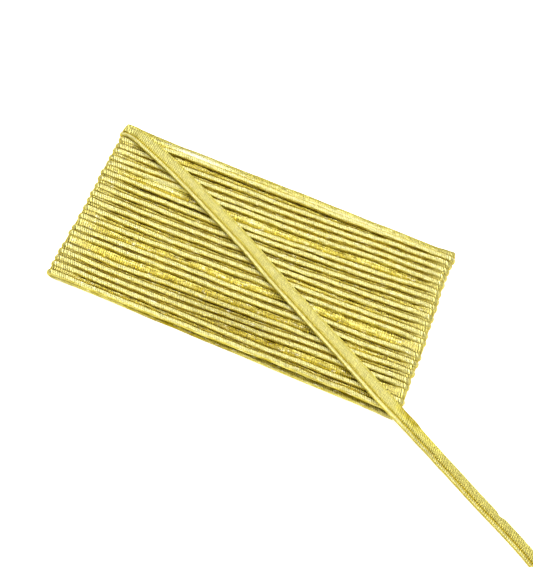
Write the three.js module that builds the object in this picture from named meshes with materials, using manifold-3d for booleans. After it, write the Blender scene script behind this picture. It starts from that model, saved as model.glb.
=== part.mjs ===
// Piping trim wound into a flat bundle, with a loose end that crosses it and lies beside it.
// Millimetres, Z up. X runs along the bundle, Y across it, and the origin is on its flat underside.

import * as THREE from 'three';
import { mergeVertices } from 'three/addons/utils/BufferGeometryUtils.js';
import Module from 'manifold-3d';

const wasm = await Module();
wasm.setup();

// The trim: a round cord in a folded ribbon, whose edges form a flat flange
const CORD_DIAMETER = 4;
const FLANGE_REACH = 7;
const FLANGE_THICKNESS = 0.9;

// The bundle: one layer of wraps above, one below, and half-round ends
const THICKNESS = 11;
const END_RADIUS = THICKNESS / 2;
const FAR_EDGE = 61;

// Places along the bundle where the course of each wrap is given
const STATIONS = [-115, -80, -45, -10, 25, 60, 90, 115];

// One wrap a row, far side first: where its cord lies across the bundle at each station,
// and how far its left and right turns reach
const WRAPS = [
  { cord: [48.5, 53.5, 53.5, 53.5, 54, 54.3, 55, 55.6], left: 127, right: 125.9 },
  { cord: [43.3, 44.3, 45.8, 46.2, 47.2, 48.8, 50.2, 51], left: 127, right: 125.3 },
  { cord: [39.2, 39, 40.2, 41.2, 42.3, 44, 45.3, 46.3], left: 127.3, right: 125.1 },
  { cord: [33.2, 34.2, 35.2, 36, 37.2, 39.2, 40.3, 41.1], left: 127.5, right: 125.2 },
  { cord: [28.8, 29.8, 30.8, 31.8, 32.3, 34.3, 35.8, 36], left: 127.1, right: 125.4 },
  { cord: [21, 20.8, 20.8, 21, 22.8, 24.5, 26.5, 29.3], left: 127.9, right: 125.5 },
  { cord: [16, 16, 16, 17.2, 18.8, 20.5, 22, 23.3], left: 127.7, right: 126 },
  { cord: [9.8, 9.6, 10, 11.5, 12.2, 14.3, 16.5, 18], left: 127.2, right: 126.5 },
  { cord: [3.5, 3.5, 4.2, 5.5, 6.7, 8.2, 9.5, 10.7], left: 127.6, right: 126.9 },
  { cord: [-2, -2, -1.3, -0.3, 2, 3.2, 4, 5.4], left: 127.4, right: 127 },
  { cord: [-8, -8.3, -7.5, -6.3, -5, -4, -3, -2], left: 127.3, right: 127.4 },
  { cord: [-15.3, -14.5, -13.3, -11.8, -10.5, -8.5, -7.5, -6.8], left: 127.6, right: 128 },
  { cord: [-24.5, -23.5, -22.5, -21.8, -20.8, -19.5, -18.8, -17.2], left: 127.9, right: 128.5 },
  { cord: [-28.8, -28, -27, -26.5, -25.5, -24.5, -23.8, -22.7], left: 128.3, right: 128.4 },
  { cord: [-39, -38.8, -37.2, -35.8, -34.3, -33.3, -31.3, -29.5], left: 128.4, right: 128.5 },
  { cord: [-43.8, -43.8, -42.6, -41.5, -39.8, -37.8, -36.8, -35.6], left: 128.8, right: 128.1 },
  { cord: [-48.8, -48.8, -47.8, -46, -44.3, -42.3, -41.3, -39.5], left: 128.7, right: 128.4 },
  { cord: [-53.5, -53.5, -53, -53, -53.3, -52, -51.5, -50.3], left: 128.9, right: 129 },
  { cord: [-60, -60, -59.5, -58.8, -57.8, -57.5, -57.5, -57.5], left: 129, right: 128.6 },
];

// How far the first wrap's cord lies out from the one above it, on the underside
const UNDER_CORD_STEP = [-0.5, -0.5, -0.6, -0.8, -1.2, -1.2, -1.2, -1.2];

// Section of a wrap as it lies in the bundle: its place across, and its drop below the crest
const RIB = [
  { across: -2, dropAbove: 2.6, dropBelow: 2.4 },
  { across: -1.5, dropAbove: 0.9, dropBelow: 0 },
  { across: -0.3, dropAbove: 0, dropBelow: 0 },
  { across: 1.1, dropAbove: 0.35, dropBelow: 0 },
  { across: 2, dropAbove: 1.9, dropBelow: 1.9 },
];
const NARROWEST_FULL_PITCH = 4.7;
// Near side, from the inside outwards: the wraps' cords bulge over a groove between the layers
const NEAR_SIDE = [
  { across: -1.1, drop: 4.4 },
  { across: -1.7, drop: 3.2 },
  { across: -2, drop: 1.8 },
];
// Far side, from the last cord outwards: its flange lies flat and turns down at the edge
const FAR_FLANGE = [
  { share: 0.55, drop: 2.1 },
  { share: 0.9, drop: 2.5 },
  { share: 1, drop: 3.8 },
];
// Grooves are shallower where the wraps turn round the ends
const END_GROOVE_SHARE = 0.55;
const END_ANGLES = [90, 60, 30, 0, -30, -60, -90];

// Places where a wrap rides up over its neighbour and its flange lies crumpled on top
const CRUMPLES = [
  { x: -80, y: 27, along: 24, across: 4, rise: 1.2 },
  { x: -10, y: 26.5, along: 22, across: 3, rise: 0.9 },
  { x: 88, y: 31, along: 16, across: 2.5, rise: 0.9 },
  { x: 95, y: -13, along: 24, across: 3, rise: 0.8 },
  { x: -80, y: -19, along: 40, across: 2, rise: 0.7 },
  { x: 70, y: -47, along: 30, across: 2.5, rise: 0.8 },
];

// Course of the loose end: the middle of its cord. It comes from below, turns up round the left end,
// climbs over the first wrap, crosses the bundle and drops off the near right corner.
const TURN_ROUTE = [
  [-104, 53.2, 2.1],
  [-113, 53.2, 2.1],
  [-122.7, 53.1, 2.1],
  [-125.3, 53, 3.1],
  [-126.2, 53, 5.5],
  [-125.3, 53, 7.9],
  [-122.7, 53, 9.1],
  [-117.5, 52, 11.3],
  [-112, 50, 13],
  [-105, 47.3, 13.5],
  [-98, 44.6, 13.5],
];
const TURN_STEPS = 26;
const LOOSE_ROUTE = [
  [-91, 41.9, 13.5],
  [-77, 36.2, 13.5],
  [-63, 30.1, 13.5],
  [-49, 23.6, 13.5],
  [-35, 17, 13.5],
  [-21, 10.5, 13.5],
  [-7, 3.5, 13.5],
  [7, -4, 13.5],
  [21, -11.2, 13.5],
  [35, -18, 13.5],
  [49, -24.9, 13.5],
  [63, -31.6, 13.5],
  [77, -38.5, 13.5],
  [91, -45.4, 13.5],
  [104, -51.9, 13.5],
  [115, -57.3, 13.5],
  [124, -61.2, 13.2],
  [132, -64.7, 12],
  [141, -68.8, 9.5],
  [150, -72.3, 6.4],
  [159, -75.7, 3.7],
  [168.5, -79.6, 2.3],
  [178, -84.1, 2.1],
  [196, -92.8, 2.1],
  [214, -101, 2.1],
  [232, -109.8, 2.1],
  [250, -120, 2.1],
];
const LOOSE_STEPS = 66;
const MEETING_GAP = 0.3;
// Beyond the bundle the flange's edge turns under, from one place along to the other
const TURN_UNDER = { from: 122, to: 146, widthShare: 0.72 };

const gold = new THREE.MeshStandardMaterial({ color: 0xd9cb6c, roughness: 0.38, metalness: 0.6 });

function crumpleRise(x, y) {
  return Math.max(0, ...CRUMPLES.map((patch) => {
    const far = Math.hypot((x - patch.x) / patch.along, (y - patch.y) / patch.across);
    return patch.rise * Math.exp(-far * far);
  }));
}

// The lines that run round the bundle, near side first: each gives its place across at a station
// above and below, its drop above and below, and the reach of its turns
function contourLines() {
  const lines = [];
  const nearest = WRAPS[WRAPS.length - 1];
  const nearestBelow = nearest.cord.map((y, i) => y + UNDER_CORD_STEP[i]);
  for (const { across, drop } of NEAR_SIDE) {
    lines.push({
      above: nearest.cord.map((y) => y + across),
      below: nearestBelow.map((y) => y + across),
      dropAbove: drop,
      dropBelow: drop,
      wrap: nearest,
    });
  }
  for (let row = WRAPS.length - 1; row >= 0; row -= 1) {
    const wrap = WRAPS[row];
    const nearer = WRAPS[row + 1];
    const farther = WRAPS[row - 1];
    const ribLines = nearer ? RIB : RIB.slice(1);
    for (const { across, dropAbove, dropBelow } of ribLines) {
      const neighbour = across < 0 ? nearer : farther;
      const above = wrap.cord.map((y, i) => {
        const pitch = neighbour ? Math.abs(neighbour.cord[i] - y) : NARROWEST_FULL_PITCH;
        return y + across * Math.min(1, pitch / NARROWEST_FULL_PITCH);
      });
      const below = nearer ? above : above.map((y, i) => y + UNDER_CORD_STEP[i]);
      lines.push({ above, below, dropAbove, dropBelow, wrap });
    }
  }
  const farthest = WRAPS[0];
  const seam = RIB[RIB.length - 1].across;
  for (const { share, drop } of FAR_FLANGE) {
    const above = farthest.cord.map((y) => THREE.MathUtils.lerp(y + seam, FAR_EDGE, share));
    lines.push({ above, below: above, dropAbove: drop, dropBelow: drop, wrap: farthest });
  }
  return lines;
}

// One line as a closed ring of points: over the top, round the right end, back below, round the left end
function ringPoints(line) {
  const points = [];
  const face = (isAbove) => STATIONS.map((x, i) => {
    const y = (isAbove ? line.above : line.below)[i];
    const rise = isAbove ? crumpleRise(x, y) * Math.min(1, line.dropAbove) : 0;
    const z = isAbove ? THICKNESS - line.dropAbove + rise : line.dropBelow;
    return [x, y, z];
  });
  const turn = (side) => {
    const reach = side > 0 ? line.wrap.right : line.wrap.left;
    const station = side > 0 ? STATIONS.length - 1 : 0;
    return END_ANGLES.map((degrees) => {
      const angle = THREE.MathUtils.degToRad(degrees);
      const low = (1 - Math.sin(angle)) / 2;
      const groove = END_GROOVE_SHARE + (1 - END_GROOVE_SHARE) * Math.abs(Math.sin(angle));
      const radius = END_RADIUS - groove * THREE.MathUtils.lerp(line.dropAbove, line.dropBelow, low);
      const y = THREE.MathUtils.lerp(line.above[station], line.below[station], low);
      const x = side * (reach - END_RADIUS + radius * Math.cos(angle));
      return [x, y, END_RADIUS + radius * Math.sin(angle)];
    });
  };
  points.push(...face(true), ...turn(1), ...face(false).reverse(), ...turn(-1).reverse());
  return points;
}

// The wound bundle: rings side by side, closed by a strip of faces on each long side
function windingGeometry() {
  const rings = contourLines().map(ringPoints);
  const count = rings[0].length;
  const positions = rings.flat(2);
  const index = [];
  for (let ring = 0; ring + 1 < rings.length; ring += 1) {
    for (let step = 0; step < count; step += 1) {
      const next = (step + 1) % count;
      const a = ring * count + step;
      const b = ring * count + next;
      const c = (ring + 1) * count + step;
      const d = (ring + 1) * count + next;
      index.push(a, b, d, a, d, c);
    }
  }
  // Points of a ring pair up from its right end's middle to its left end's middle
  const rightMiddle = STATIONS.length + (END_ANGLES.length - 1) / 2;
  const pairs = count / 2;
  for (const [first, flip] of [[0, false], [(rings.length - 1) * count, true]]) {
    for (let step = 0; step < pairs; step += 1) {
      const a = first + (rightMiddle - step + count) % count;
      const b = first + (rightMiddle - step - 1 + count) % count;
      const c = first + (rightMiddle + step) % count;
      const d = first + (rightMiddle + step + 1) % count;
      for (const corners of [[a, b, d], [a, d, c]]) {
        if (new Set(corners).size === 3) {
          index.push(...(flip ? corners.reverse() : corners));
        }
      }
    }
  }
  const geometry = new THREE.BufferGeometry();
  geometry.setAttribute('position', new THREE.Float32BufferAttribute(positions, 3));
  geometry.setIndex(index);
  return geometry;
}

// Section of the trim with its cord in the middle and its flange to one side; side is 1 or -1
function trimSection(side) {
  const radius = CORD_DIAMETER / 2;
  const outline = [20, 60, 100, 140, 180, 220, 260].map((degrees) => {
    const angle = THREE.MathUtils.degToRad(degrees);
    return [radius * Math.cos(angle), radius * Math.sin(angle)];
  });
  const edge = radius + FLANGE_REACH;
  outline.push([radius + 0.5, -radius], [edge, -radius], [edge, FLANGE_THICKNESS - radius]);
  outline.push([radius + 0.8, FLANGE_THICKNESS - radius + 0.3]);
  return new THREE.Shape(outline.map(([across, up]) => new THREE.Vector2(-side * up, side * across)));
}

function sweep(route, steps, side) {
  const curve = new THREE.CatmullRomCurve3(route.map((point) => new THREE.Vector3(...point)));
  const geometry = new THREE.ExtrudeGeometry(trimSection(side), {
    steps,
    bevelEnabled: false,
    extrudePath: curve,
  });
  geometry.deleteAttribute('normal');
  geometry.deleteAttribute('uv');
  return mergeVertices(geometry, 1e-4);
}

function toSolid(geometry) {
  return new wasm.Manifold(new wasm.Mesh({
    numProp: 3,
    vertProperties: new Float32Array(geometry.attributes.position.array),
    triVerts: new Uint32Array(geometry.index.array),
  }));
}

function toGeometry(solid) {
  const mesh = solid.getMesh();
  const geometry = new THREE.BufferGeometry();
  geometry.setAttribute('position', new THREE.Float32BufferAttribute(mesh.vertProperties, 3));
  geometry.setIndex([...mesh.triVerts]);
  return geometry;
}

function addPiece(group, name, geometry) {
  const mesh = new THREE.Mesh(geometry, gold);
  mesh.name = name;
  group.add(mesh);
}

// The wound bundle together with the turn that brings the loose end up round its left end
function windingWithTurn() {
  const turn = toSolid(sweep(TURN_ROUTE, TURN_STEPS, -1));
  return toGeometry(toSolid(windingGeometry()).add(turn));
}

// The flange drawn in towards its cord beyond the bundle, where the cord's course is a chain of chords
function narrowFlange(geometry, route) {
  const position = geometry.attributes.position;
  for (let i = 0; i < position.count; i += 1) {
    const x = position.getX(i);
    const y = position.getY(i);
    const next = THREE.MathUtils.clamp(route.findIndex((point) => point[0] > x), 1, route.length - 1);
    const [fromX, fromY] = route[next - 1];
    const length = Math.hypot(route[next][0] - fromX, route[next][1] - fromY);
    const towards = [(route[next][0] - fromX) / length, (route[next][1] - fromY) / length];
    const across = towards[0] * (y - fromY) - towards[1] * (x - fromX);
    const share = THREE.MathUtils.smoothstep(x, TURN_UNDER.from, TURN_UNDER.to);
    const excess = Math.max(0, across - CORD_DIAMETER) * (1 - TURN_UNDER.widthShare) * share;
    position.setXY(i, x + towards[1] * excess, y - towards[0] * excess);
  }
  return geometry;
}

// The loose end starts where that turn is cut off, a small gap away
function looseEnd() {
  const turnEnd = new THREE.Vector3(...TURN_ROUTE[TURN_ROUTE.length - 1]);
  const onward = new THREE.Vector3(...LOOSE_ROUTE[0]).sub(turnEnd).setLength(MEETING_GAP);
  const route = [turnEnd.add(onward).toArray(), ...LOOSE_ROUTE];
  return narrowFlange(sweep(route, LOOSE_STEPS, 1), route);
}

const bundle = new THREE.Group();
addPiece(bundle, 'winding', windingWithTurn());
addPiece(bundle, 'loose_end', looseEnd());

export default bundle;
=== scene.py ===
"""Gold piping cord trim, wound into a flat bundle with one loose end that crosses it."""

import math

import bmesh
import bpy
import numpy as np
from bpy.props import FloatProperty, FloatVectorProperty, PointerProperty
from mathutils import Matrix, Vector, noise


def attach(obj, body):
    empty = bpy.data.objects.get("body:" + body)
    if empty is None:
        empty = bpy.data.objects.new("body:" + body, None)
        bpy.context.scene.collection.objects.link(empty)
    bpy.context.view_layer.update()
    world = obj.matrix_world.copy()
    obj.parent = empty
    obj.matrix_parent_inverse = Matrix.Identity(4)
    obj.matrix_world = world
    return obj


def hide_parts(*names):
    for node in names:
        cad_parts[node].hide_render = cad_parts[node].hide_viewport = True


bl_info = {
    "name": "Piping Cord Trim Bundle",
    "version": (1, 0, 0),
    "blender": (4, 5, 0),
    "location": "3D View > Sidebar > Trim",
    "description": "Builds piping trim wound into a flat bundle with a loose end",
    "category": "Object",
}

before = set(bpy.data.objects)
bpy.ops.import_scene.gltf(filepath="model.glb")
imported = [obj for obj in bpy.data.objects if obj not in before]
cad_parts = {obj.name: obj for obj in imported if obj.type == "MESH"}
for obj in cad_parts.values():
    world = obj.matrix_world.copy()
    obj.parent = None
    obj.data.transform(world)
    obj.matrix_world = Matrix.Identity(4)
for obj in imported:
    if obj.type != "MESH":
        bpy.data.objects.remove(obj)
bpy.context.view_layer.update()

MM = 0.001

# Camera, found from the outline of the bundle. Pixels, degrees and metres
IMAGE_LONG_SIDE = 567
FOCAL_PIXELS = 1000.0
SENSOR_WIDTH = 36.0
CAMERA_TILT = 17.7917
CAMERA_SPIN = 23.1995
CAMERA_DISTANCE = 0.6885165
CAMERA_AIM = (0.012046, -0.007608, 0.0)
NEAREST_SEEN = 0.01
FARTHEST_SEEN = 20

# Millimetres along the bundle where the course of each wrap is given
STATIONS = (-115, -80, -45, -10, 25, 60, 90, 115)

# One wrap a row, near side first: where its cord lies across the bundle at each station,
# then how far its left and right turns reach. Millimetres
WRAPS = (
    ((-60, -60, -59.5, -58.8, -57.8, -57.5, -57.5, -57.5), 129, 128.6),
    ((-53.5, -53.5, -53, -53, -53.3, -52, -51.5, -50.3), 128.9, 129),
    ((-48.8, -48.8, -47.8, -46, -44.3, -42.3, -41.3, -39.5), 128.7, 128.4),
    ((-43.8, -43.8, -42.6, -41.5, -39.8, -37.8, -36.8, -35.6), 128.8, 128.1),
    ((-39, -38.8, -37.2, -35.8, -34.3, -33.3, -31.3, -29.5), 128.4, 128.5),
    ((-28.8, -28, -27, -26.5, -25.5, -24.5, -23.8, -22.7), 128.3, 128.4),
    ((-24.5, -23.5, -22.5, -21.8, -20.8, -19.5, -18.8, -17.2), 127.9, 128.5),
    ((-15.3, -14.5, -13.3, -11.8, -10.5, -8.5, -7.5, -6.8), 127.6, 128),
    ((-8, -8.3, -7.5, -6.3, -5, -4, -3, -2), 127.3, 127.4),
    ((-2, -2, -1.3, -0.3, 2, 3.2, 4, 5.4), 127.4, 127),
    ((3.5, 3.5, 4.2, 5.5, 6.7, 8.2, 9.5, 10.7), 127.6, 126.9),
    ((9.8, 9.6, 10, 11.5, 12.2, 14.3, 16.5, 18), 127.2, 126.5),
    ((16, 16, 16, 17.2, 18.8, 20.5, 22, 23.3), 127.7, 126),
    ((21, 20.8, 20.8, 21, 22.8, 24.5, 26.5, 29.3), 127.9, 125.5),
    ((28.8, 29.8, 30.8, 31.8, 32.3, 34.3, 35.8, 36), 127.1, 125.4),
    ((33.2, 34.2, 35.2, 36, 37.2, 39.2, 40.3, 41.1), 127.5, 125.2),
    ((39.2, 39, 40.2, 41.2, 42.3, 44, 45.3, 46.3), 127.3, 125.1),
    ((43.3, 44.3, 45.8, 46.2, 47.2, 48.8, 50.2, 51), 127, 125.3),
    ((48.5, 53.5, 53.5, 53.5, 54, 54.3, 55, 55.6), 127, 125.9),
)

# Across the bundle, at the right and left ends, of the first runs below and of the last one
FIRST_RUN_BELOW = (-60.0, -60.4)
SECOND_RUN_BELOW = (-54.2, -53.5)
LAST_RUN_BELOW = (55.6, 53.2)
# Where the first run starts along the bundle, where the last one ends, and where that one lies across
FIRST_RUN_START = 125.5
LAST_RUN_END = -104.0
LAST_TURN_PLACE = 53.0
TURN_STEPS = 9
# The mesh of the runs below is this many times coarser than on top
BELOW_COARSER = 4
# Slow wander of the wraps: reach along and size, on top, below and in height
TOP_WANDER = (17.0, 0.5)
BELOW_WANDER = (25.0, 0.4)
HEIGHT_WANDER = (13.0, 0.25)
# Crumpling of the flanges: below, on top, and how much more where the wraps lie far apart
CRUMPLE_BELOW = 0.15
CRUMPLE = 0.2
WIDE_CRUMPLE = 0.55
# From here outwards a wrap lies still and uncrumpled before it turns
STILL_ENDS = (112, 122)

# Course of the cord of the loose end, in millimetres, from below, round the left end and over the
# bundle, and how finely the smooth curve between two of its points is measured
CURVE_STEPS = 40
# Where this share of the course or less is level, the section keeps the bundle's own direction across
STEEP = 0.7
TURN_ROUTE = (
    (-104, 53.2, 2.1),
    (-113, 53.2, 2.1),
    (-122.7, 53.1, 2.1),
    (-125.3, 53, 3.1),
    (-126.2, 53, 5.5),
    (-125.3, 53, 7.9),
    (-122.7, 53, 9.1),
    (-117.5, 52, 11.3),
    (-112, 50, 13),
    (-105, 47.3, 13.5),
    (-98, 44.6, 13.5),
)
LOOSE_ROUTE = (
    (-91, 41.9, 13.5),
    (-77, 36.2, 13.5),
    (-63, 30.1, 13.5),
    (-49, 23.6, 13.5),
    (-35, 17, 13.5),
    (-21, 10.5, 13.5),
    (-7, 3.5, 13.5),
    (7, -4, 13.5),
    (21, -11.2, 13.5),
    (35, -18, 13.5),
    (49, -24.9, 13.5),
    (63, -31.6, 13.5),
    (77, -38.5, 13.5),
    (91, -45.4, 13.5),
    (104, -51.9, 13.5),
    (115, -57.3, 13.5),
    (124, -61.2, 13.2),
    (132, -64.7, 12),
    (141, -68.8, 9.5),
    (150, -72.3, 6.4),
    (159, -75.7, 3.7),
    (168.5, -79.6, 2.3),
    (178, -84.1, 2.1),
    (196, -92.8, 2.1),
    (214, -101, 2.1),
    (232, -109.8, 2.1),
    (250, -120, 2.1),
)

# Places that differ on top: centre, half lengths along and across, rise of the flange, in millimetres,
# and painted tone, from -1 for painted shade in a dark gap to 1 or more for painted glare
PLACES = (
    (-80, 26.2, 24, 4.2, 1.5, 1.1),
    (-10, 26.5, 22, 3, 0.9, 0.8),
    (40, 27, 20, 2, 0.4, 0.25),
    (52, 30.5, 4, 1.3, -0.4, -0.9),
    (80, 31.5, 16, 2, 0.7, 0.5),
    (109, 33.5, 4.5, 1.4, -0.4, -0.9),
    (-65, 18.8, 38, 1.2, -0.9, -0.7),
    (-90, -19, 30, 2, 0.7, 0.2),
    (-85, -17.3, 4, 1.2, -0.3, -0.9),
    (-43, -15.5, 4, 1.3, -0.4, -0.9),
    (-2, -18, 18, 1.5, 0.4, 0.5),
    (92, -13.5, 24, 2.2, 0.8, 0.5),
    (108, -11, 3, 1, -0.3, -0.9),
    (32, -47, 4, 1.3, -0.4, -0.9),
    (73, -47, 26, 2.2, 0.7, 0),
    (116, -44.5, 6, 2.2, 0.5, -0.6),
    (-70, 57, 34, 2.9, 0.35, 1.2),
    (50, 56.8, 70, 2.6, 0, 0.9),
    (0, 52.2, 85, 0.9, -0.7, -0.45),
    (-115, 46.8, 4, 1.6, 0.8, 0.3),
    (-102, 56.5, 4, 1.4, -0.2, -0.7),
    (0, -42, 60, 13, 0, -0.55),
    (70, -57.5, 45, 2.5, 0, -0.45),
    (-28, 34, 10, 1.2, 0, -0.7),
)

# Section of a wrap. The cord's points are angles round it, from its far seam over its crest
CORD_ANGLES = (25, 48, 70, 90, 110, 130, 152, 180, 215, 270, 320)
# The flange's upper points from the seam outwards: share of the way to the next wrap, share of the drop
FLANGE_STEPS = ((0, 0), (0.18, -0.08), (0.44, -0.06), (0.68, 0.12), (0.87, 0.5), (1.0, 1.0))
# The last wrap's flange has nothing on it and lies flat
FLAT_FLANGE_STEPS = ((0, 0), (0.1, -0.15), (0.35, 0.05), (0.6, 0.1), (0.87, 0.2), (1.0, 1.0))
FLAT_SINK = 1.6
SEAM_PLACE = 2.1
SEAM_TUCK = 0.2
SEAM_DROP = 0.85
FLANGE_SINK = 2.7
SINK_WANDER = 1.0
NARROWEST_REACH = 0.6
ROOM_BESIDE_NEXT = 0.7
REACH_UNDER_NEXT = 1.0
EDGE_TURN = 0.3
FAR_EDGE_ROOM = 0.6
CORD_CREASE = 0.035
# Where the next wrap is far off, the flange lies higher and the cord leans to its far side
WIDE_PITCHES = (6.0, 8.5)
WIDE_LIFT = 1.3
WIDE_SEAM_LIFT = 0.3
WIDE_SHIFT = 0.35
# Where the wraps turn round the ends, the flange is drawn taut over the one below
TURN_SEAM_DROP = -0.95
TURN_FLANGE_SINK = -0.4
TURN_WIDENING = 0.15
# How taut it is there, and where that starts and is full, inwards from where the turn begins
LEFT_TAUTNESS = 0.85
LEFT_TAUT_FROM = (26, 8)
RIGHT_TAUTNESS = 0.9
RIGHT_TAUT_FROM = (17, 6)

# Section of the loose end: finer, with its flange flat
LOOSE_CORD_ANGLES = (26, 38, 50, 63, 76, 90, 105, 120, 135, 150, 166, 182, 205, 235, 270, 305, 330)
LOOSE_CORD_SHIFT = -0.4
LOOSE_CORD_WIDTH = 0.84
LOOSE_FLANGE = (
    (1.45, -0.6),
    (2.0, -0.95),
    (2.8, -0.75),
    (4.0, -0.9),
    (5.6, -1.05),
    (6.9, -1.1),
    (8.1, -1.12),
    (8.8, -1.2),
    (9.0, -1.5),
)
# The flange's edge turns under beyond the bundle: from one place along to another, and by what share
NARROWINGS = ((118, 126, 0.03), (137, 146, 0.08), (144, 170, 0.125))
# A nick in that edge: place along, half length and share
NICK = (208.5, 2.2, 0.14)
# Where it turns round the left end, the flange is drawn in a little and lies level with the cord
LOOSE_TURN = (118, 126)
TURN_NARROWING = 0.12
TURN_HEIGHT = 1.2
# Where the loose end drops from the bundle it swings a little to its far side and its flange hangs
DRIFT = 0.5
DRIFT_ALONG = ((130, 140), (154, 166))
DROOP = 2.2
DROOP_ALONG = ((114, 128), (150, 168))
FLANGE_WAVE = 0.16
FLANGE_CREASE = 0.05
LOOSE_CORD_CREASE = 0.02

# Painted tone of the winding: painted shade on the flange where the wraps lie far apart, and painted light
# on the near side but for its underside and one stretch along it, which get painted shadow
WIDE_GLOOM = 0.35
WIDE_GLOOM_ACROSS = ((2.6, 3.4), (5.0, 6.5))
NEAR_SIDE = -56
NEAR_TONE = 0.2
NEAR_GLOOM = 1.1
NEAR_GLOOM_ALONG = ((-75, -55), (5, 20))
NEAR_UNDERSIDE = (-1.7, -0.8)

# Painted tone of the loose end: painted light on its flange and painted shade on its cord, first on the
# bundle and then beyond it, and how much painted shade darkens its edge, and the strip along the edge where
# it drops off
BEYOND = (112, 150)
FLANGE_TONE = (0.45, 0.3)
CORD_TONE = (-0.35, -0.6)
FLANGE_STARTS = (1.6, 3.2)
FLANGE_NEARER = 1.1
EDGE_GLOOM = 0.4
EDGE_ACROSS = (6.6, 8.6)
STRIP_GLOOM = 1.2
STRIP_ACROSS = (4.0, 5.8)
STRIP_ALONG = ((120, 127), (136, 144))

# Size of the creases, in millimetres, on the winding's flange, on the cord and on the loose flange
FLANGE_CELL = 3.1
CORD_CELL = 2.6
WAVE_CELL = 9.0
FINE_CELL = 2.4
# Points of the loose flange's upper side that its underside repeats
UNDERSIDE_POINTS = (6, 3, 1)
UNDERSIDE_ROOM = 0.1

# Patterns on the ribbon, as scales round it, along it and out of it
STREAK_SCALES = (1300, 90, 1)
SLOW_SCALES = (120, 45, 1)
SPECK_SCALES = (1000, 300, 1)
CRINKLE_SCALES = (1.0, 0.22, 1.0)
CRINKLE_SCALE = 700.0
PATCH_SCALE = 160.0
WEAVE_SCALE = 500.0
WEAVE_UNEVENNESS = 4.0
RIB_SLANT = 0.35
WEAVE_DEPTH = 0.35
THREAD_SPACING = 0.0007
# Where its painted highlight on the crest and its painted shade in the seam and under the cord change, in
# metres: round it from the cord's crest, and above the table
CREST_FADES = (0.0003, 0.0018)
SEAM_FADES_IN = (0.0, 0.0009)
SEAM_FADES_OUT = (0.0, 0.0011)
UNDER_CORD = (-0.0032, -0.0018)
UPPER_LAYER = (0.0045, 0.007)
# How far from the bundle's middle its look grows calmer, and how fast the turns' darker colour, partly
# painted shade, comes in there
CALMER_ENDS = (0.098, 0.121)
TURN_COLOUR_SHARE = 3.5
# How much less creased it is on the crest and where painted glare lies
CALM_SMOOTHING = 0.75

# Floor and lights, in metres. A light has its place and its size
FLOOR_HALF = 1.6
FLOOR_LEVEL = -0.0003
KEY_LIGHT = ((-0.08, 0.33, 1.15), 1.2)
NEAR_LIGHT = ((0.2, -0.9, 0.5), 0.8)


def smooth(value, low, high):
    """0 below low, 1 above high, and a smooth step between them."""
    share = min(1.0, max(0.0, (value - low) / (high - low)))
    return share * share * (3 - 2 * share)


def within(value, start, end):
    """1 between a start and an end, 0 outside them, and a smooth step over each."""
    return smooth(value, *start) * (1 - smooth(value, *end))


def blend(first, second, share):
    """A value part of the way from the first to the second."""
    return first + (second - first) * share


def course(values, x):
    """A smooth line through one value at each station."""
    slopes = np.gradient(np.array(values, float), np.array(STATIONS, float))
    x = min(max(x, STATIONS[0]), STATIONS[-1])
    i = min(int(np.searchsorted(STATIONS, x, side="right")) - 1, len(STATIONS) - 2)
    span = STATIONS[i + 1] - STATIONS[i]
    t = (x - STATIONS[i]) / span
    start = (1 + 2 * t) * (1 - t) ** 2 * values[i] + t * (1 - t) ** 2 * span * slopes[i]
    end = t * t * (3 - 2 * t) * values[i + 1] + t * t * (t - 1) * span * slopes[i + 1]
    return start + end


def wander(x, row, reach, size):
    """A small slow wander along a run, different in each row."""
    return size * noise.noise(Vector((x / reach, row * 3.7, size)))


def place_effects(x, y):
    """How far the flange is lifted at a place on the bundle, and how much painted glare or painted shade it
    has.
    """
    rise = 0.0
    tone = 0.0
    for centre_x, centre_y, along, across, height, shade in PLACES:
        share = math.exp(-(((x - centre_x) / along) ** 2) - ((y - centre_y) / across) ** 2)
        rise += height * share
        tone += shade * share
    return rise, tone


class Ring:
    """One section of the trim: where its cord's middle is, and which ways are out and across."""

    def __init__(self, middle, out, across, pitch=7.0, taut=0.0, crumple=0.0, flat_to=None):
        self.middle = Vector(middle)
        self.out = Vector(out)
        self.across = Vector(across)
        self.pitch = pitch
        self.taut = taut
        self.crumple = crumple
        self.flat_to = flat_to

    def wideness(self):
        """0 where the next wrap is close, 1 where it is far off."""
        return smooth(self.pitch, *WIDE_PITCHES)

    def round_cord(self, radius, angle):
        """The place on the cord at an angle round it."""
        return (
            self.middle
            + self.across * radius * math.cos(angle)
            + self.out * radius * math.sin(angle)
        )


def foil(point, cell, seed):
    """Creases like crushed foil, from -1 to 1, at a place in millimetres."""
    place = Vector((point.x / cell, point.y / cell * 1.3, point.z / cell + seed))
    soft = noise.noise(place)
    sharp = 1 - 2 * abs(noise.noise(place * 1.9 + Vector((5.1, 2.3, 1.7))))
    return 0.6 * soft + 0.5 * (sharp - 0.4)


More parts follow.
